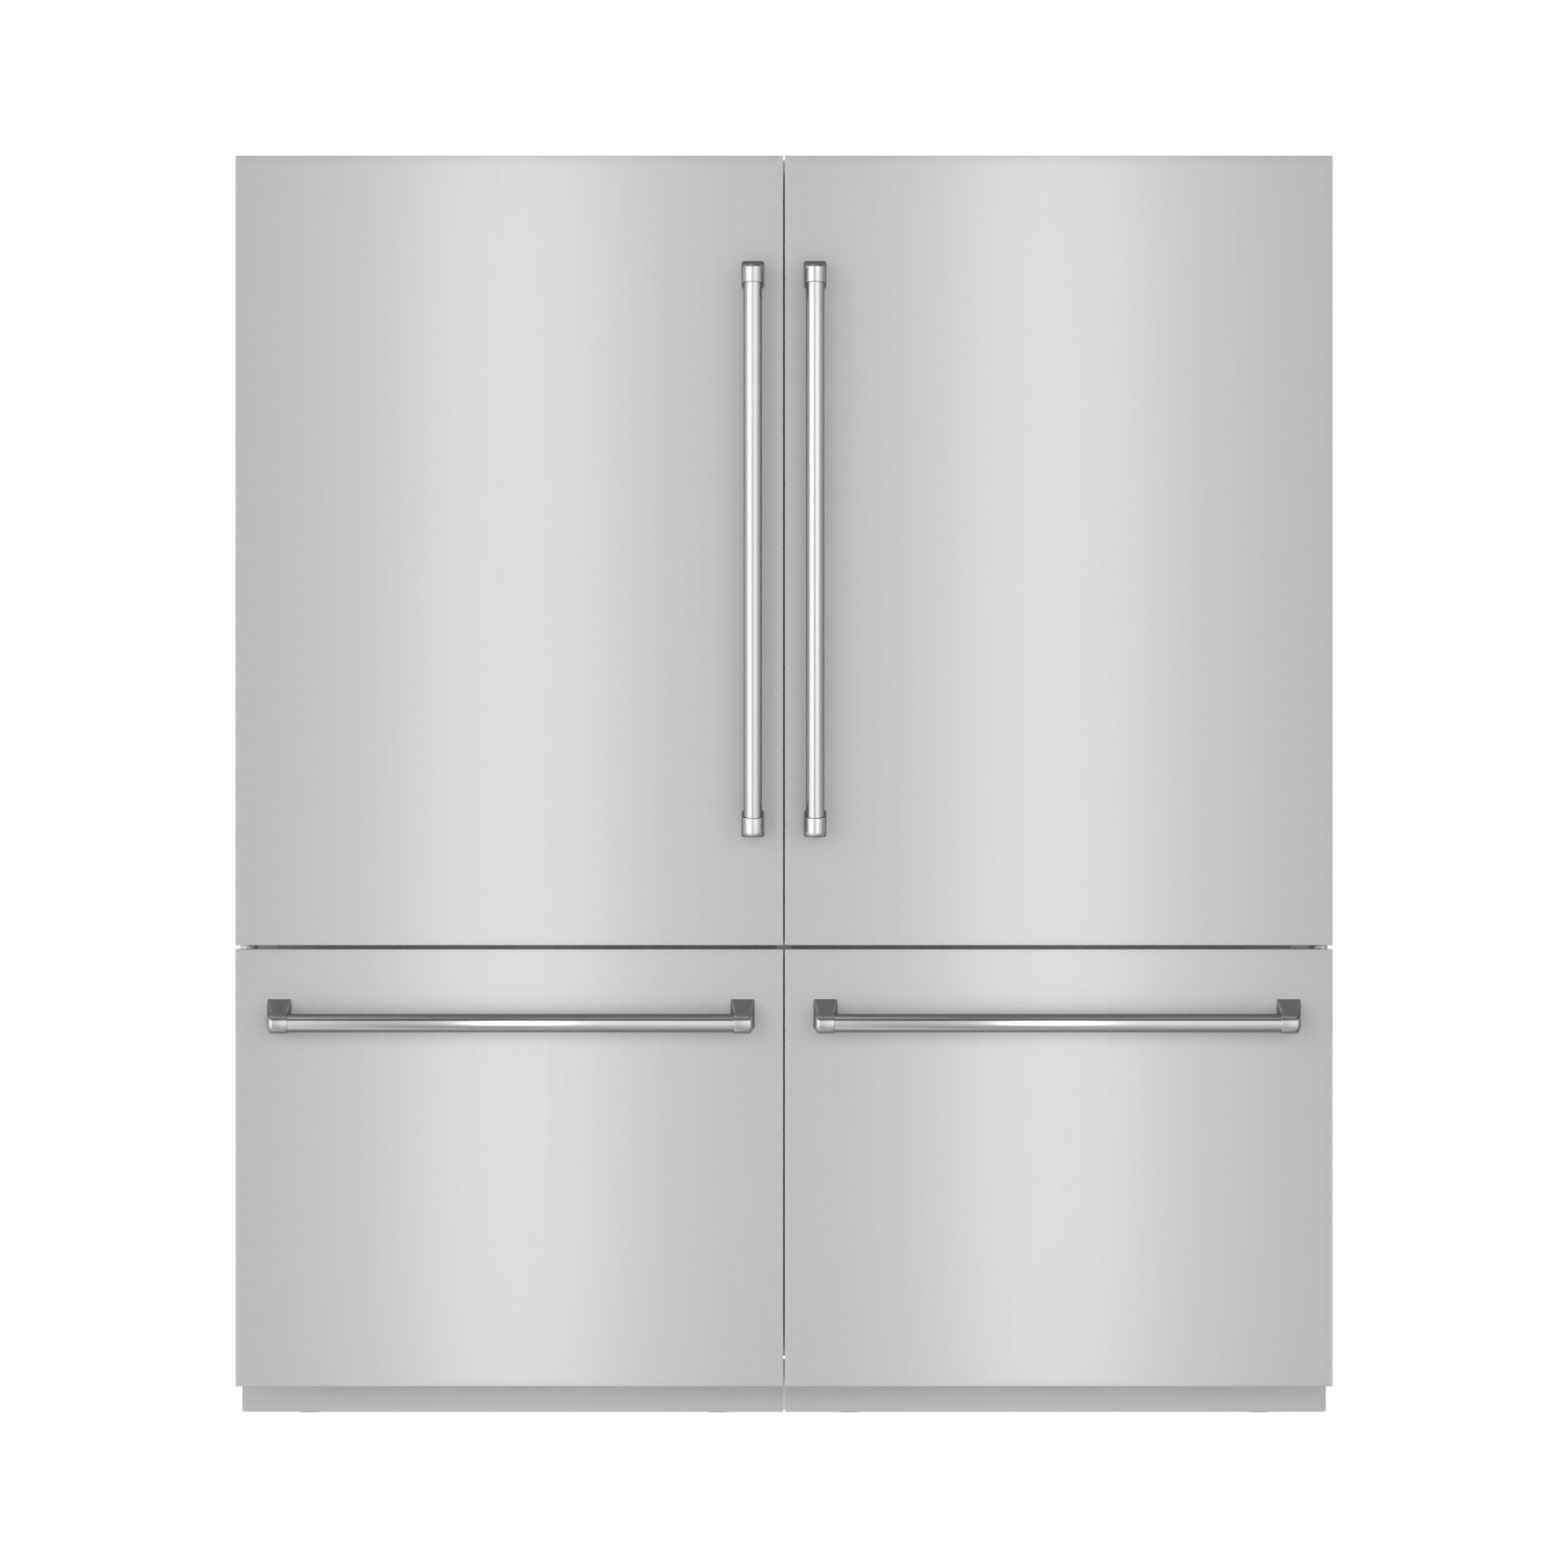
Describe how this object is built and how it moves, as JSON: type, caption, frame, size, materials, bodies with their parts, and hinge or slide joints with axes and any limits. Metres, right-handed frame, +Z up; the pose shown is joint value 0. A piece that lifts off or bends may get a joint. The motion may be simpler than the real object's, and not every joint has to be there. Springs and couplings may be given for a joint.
{
  "type": "french door refrigerator",
  "caption": "Built-in stainless refrigerator: hinged doors with upright tubular handles over freezer drawers with level handles, on a recessed toe kick.",
  "frame": {"origin": "on the floor, under the middle of the whole object's box, handles included", "axes": "+X to the viewer's right as one faces the doors, -Y out of the doors, +Z up"},
  "size_m": [1.8158, 0.694, 2.087],
  "materials": {
    "brushed_steel": "stainless steel with a fine upright brushed grain",
    "handle_steel": "stainless steel, finely brushed along the bar",
    "case_grey": "light texture grey paint",
    "foam": "rigid foam, hidden between the case and the liner",
    "liner_white": "smooth white moulding, satin gloss",
    "gasket_grey": "matt grey magnetic seal",
    "zinc_steel": "zinc plated steel",
    "frame_black": "black paint, satin",
    "clear_plastic": "clear moulded plastic with polished rims",
    "shelf_glass": "clear tempered glass",
    "tub_white": "moulded plastic, fine texture"
  },
  "bodies": {
    "cabinet": {"left_case": "case_grey", "left_insulation": "foam", "left_liner": "liner_white", "left_base_frame": "frame_black", "left_toe_kick": "brushed_steel", "left_outer_foot": "zinc_steel", "left_inner_foot": "zinc_steel", "left_crisper_shelf": "shelf_glass", "left_upper_shelf": "shelf_glass", "left_compressor": "frame_black", "left_slide_rails": "zinc_steel", "left_top_hinge": "zinc_steel", "left_bottom_hinge": "zinc_steel", "right_case": "case_grey", "right_insulation": "foam", "right_liner": "liner_white", "right_base_frame": "frame_black", "right_toe_kick": "brushed_steel", "right_outer_foot": "zinc_steel", "right_inner_foot": "zinc_steel", "right_crisper_shelf": "shelf_glass", "right_upper_shelf": "shelf_glass", "right_compressor": "frame_black", "right_slide_rails": "zinc_steel", "right_top_hinge": "zinc_steel", "right_bottom_hinge": "zinc_steel"},
    "left_door": {"left_door_panel": "brushed_steel", "left_door_core": "liner_white", "left_door_gasket": "gasket_grey", "left_door_handle_bar": "handle_steel", "left_door_handle_top_bracket": "handle_steel", "left_door_handle_bottom_bracket": "handle_steel", "left_door_upper_bin": "clear_plastic", "left_door_lower_bin": "clear_plastic"},
    "left_drawer": {"left_drawer_panel": "brushed_steel", "left_drawer_core": "liner_white", "left_drawer_gasket": "gasket_grey", "left_drawer_handle_bar": "handle_steel", "left_drawer_handle_outer_bracket": "handle_steel", "left_drawer_handle_inner_bracket": "handle_steel", "left_drawer_frame": "zinc_steel", "left_drawer_tub": "tub_white"},
    "left_crisper": {"left_crisper_drawer": "clear_plastic"},
    "right_door": {"right_door_panel": "brushed_steel", "right_door_core": "liner_white", "right_door_gasket": "gasket_grey", "right_door_handle_bar": "handle_steel", "right_door_handle_top_bracket": "handle_steel", "right_door_handle_bottom_bracket": "handle_steel", "right_door_upper_bin": "clear_plastic", "right_door_lower_bin": "clear_plastic"},
    "right_drawer": {"right_drawer_panel": "brushed_steel", "right_drawer_core": "liner_white", "right_drawer_gasket": "gasket_grey", "right_drawer_handle_bar": "handle_steel", "right_drawer_handle_outer_bracket": "handle_steel", "right_drawer_handle_inner_bracket": "handle_steel", "right_drawer_frame": "zinc_steel", "right_drawer_tub": "tub_white"},
    "right_crisper": {"right_crisper_drawer": "clear_plastic"}
  },
  "joints": [
    {"name": "left_door_hinge", "type": "hinge", "parent": "cabinet", "child": "left_door", "pos_m": [-0.8877, -0.233, 0.7805], "axis": [0, 0, -1], "range_deg": [0, 115]},
    {"name": "left_drawer_slide", "type": "slide", "parent": "cabinet", "child": "left_drawer", "axis": [0, -1, 0], "range_m": [0, 0.4]},
    {"name": "left_crisper_slide", "type": "slide", "parent": "cabinet", "child": "left_crisper", "axis": [0, -1, 0], "range_m": [0, 0.09]},
    {"name": "right_door_hinge", "type": "hinge", "parent": "cabinet", "child": "right_door", "pos_m": [0.8877, -0.233, 0.7805], "axis": [0, 0, 1], "range_deg": [0, 115]},
    {"name": "right_drawer_slide", "type": "slide", "parent": "cabinet", "child": "right_drawer", "axis": [0, -1, 0], "range_m": [0, 0.4]},
    {"name": "right_crisper_slide", "type": "slide", "parent": "cabinet", "child": "right_crisper", "axis": [0, -1, 0], "range_m": [0, 0.09]}
  ]
}
